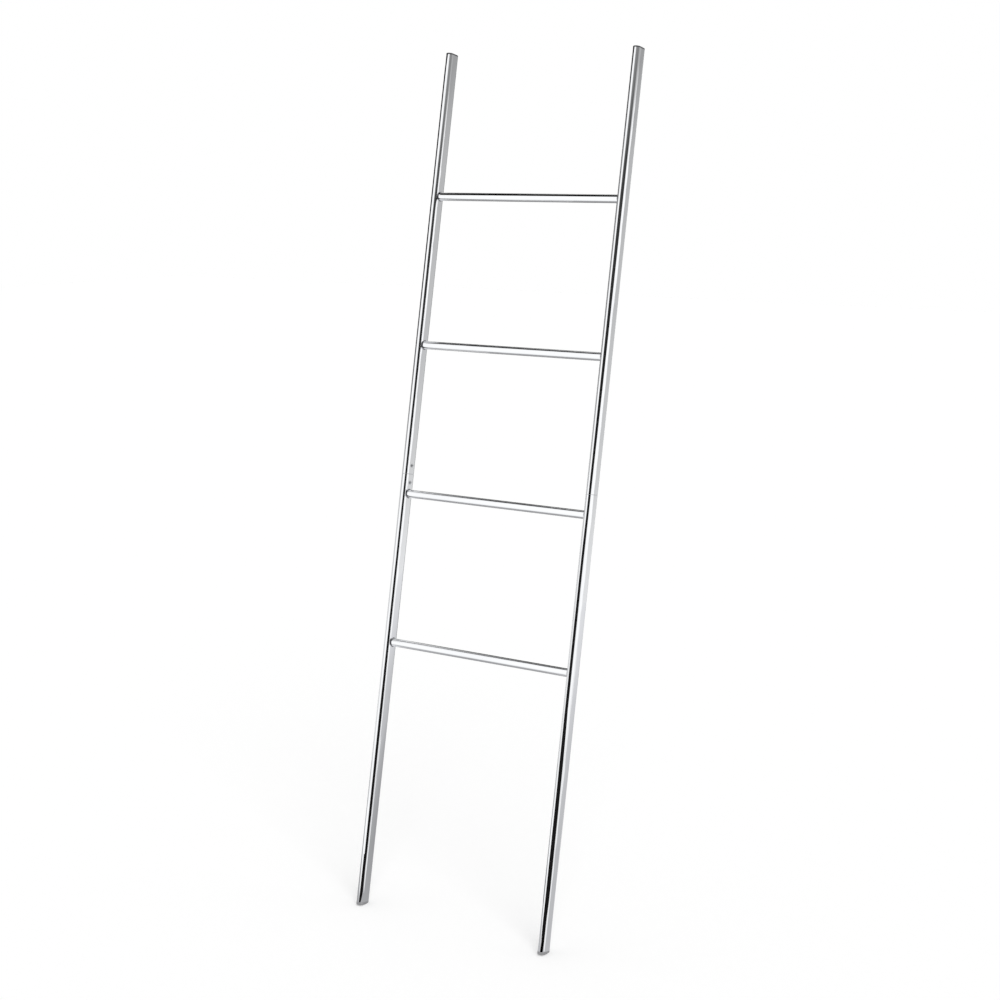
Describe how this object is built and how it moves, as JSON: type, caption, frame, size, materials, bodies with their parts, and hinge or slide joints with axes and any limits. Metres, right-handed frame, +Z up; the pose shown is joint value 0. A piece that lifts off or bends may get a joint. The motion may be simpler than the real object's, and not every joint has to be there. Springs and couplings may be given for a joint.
{
  "type": "towel ladder",
  "caption": "Leaning towel ladder: oval chromed stile tubes, each joined from an upper and a lower length, with round welded rungs, top caps and plastic feet.",
  "frame": {"origin": "on the floor, under the centre of the leaning ladder's box", "axes": "+X along the rungs to the right as seen by the user, +Y towards the wall that it leans on, +Z up"},
  "size_m": [0.44, 0.3536, 1.6715],
  "materials": {
    "chrome_stile": "polished chrome plate",
    "chrome_rung": "polished chrome plate",
    "chrome_weld": "dressed weld under chrome plate",
    "chrome_screw": "chromed button head",
    "zinc_sleeve": "bright zinc plate",
    "cap_plastic": "fine moulded texture",
    "foot_plastic": "fine moulded texture"
  },
  "bodies": {
    "root": {"bottom_rung": "chrome_rung", "bottom_rung_left_weld": "chrome_weld", "bottom_rung_right_weld": "chrome_weld", "left_foot": "foot_plastic", "left_joint_sleeve": "zinc_sleeve", "left_lower_joint_screw": "chrome_screw", "left_lower_stile": "chrome_stile", "left_top_cap": "cap_plastic", "left_upper_joint_screw": "chrome_screw", "left_upper_stile": "chrome_stile", "lower_rung": "chrome_rung", "lower_rung_left_weld": "chrome_weld", "lower_rung_right_weld": "chrome_weld", "right_foot": "foot_plastic", "right_joint_sleeve": "zinc_sleeve", "right_lower_joint_screw": "chrome_screw", "right_lower_stile": "chrome_stile", "right_top_cap": "cap_plastic", "right_upper_joint_screw": "chrome_screw", "right_upper_stile": "chrome_stile", "top_rung": "chrome_rung", "top_rung_left_weld": "chrome_weld", "top_rung_right_weld": "chrome_weld", "upper_rung": "chrome_rung", "upper_rung_left_weld": "chrome_weld", "upper_rung_right_weld": "chrome_weld"}
  },
  "joints": []
}
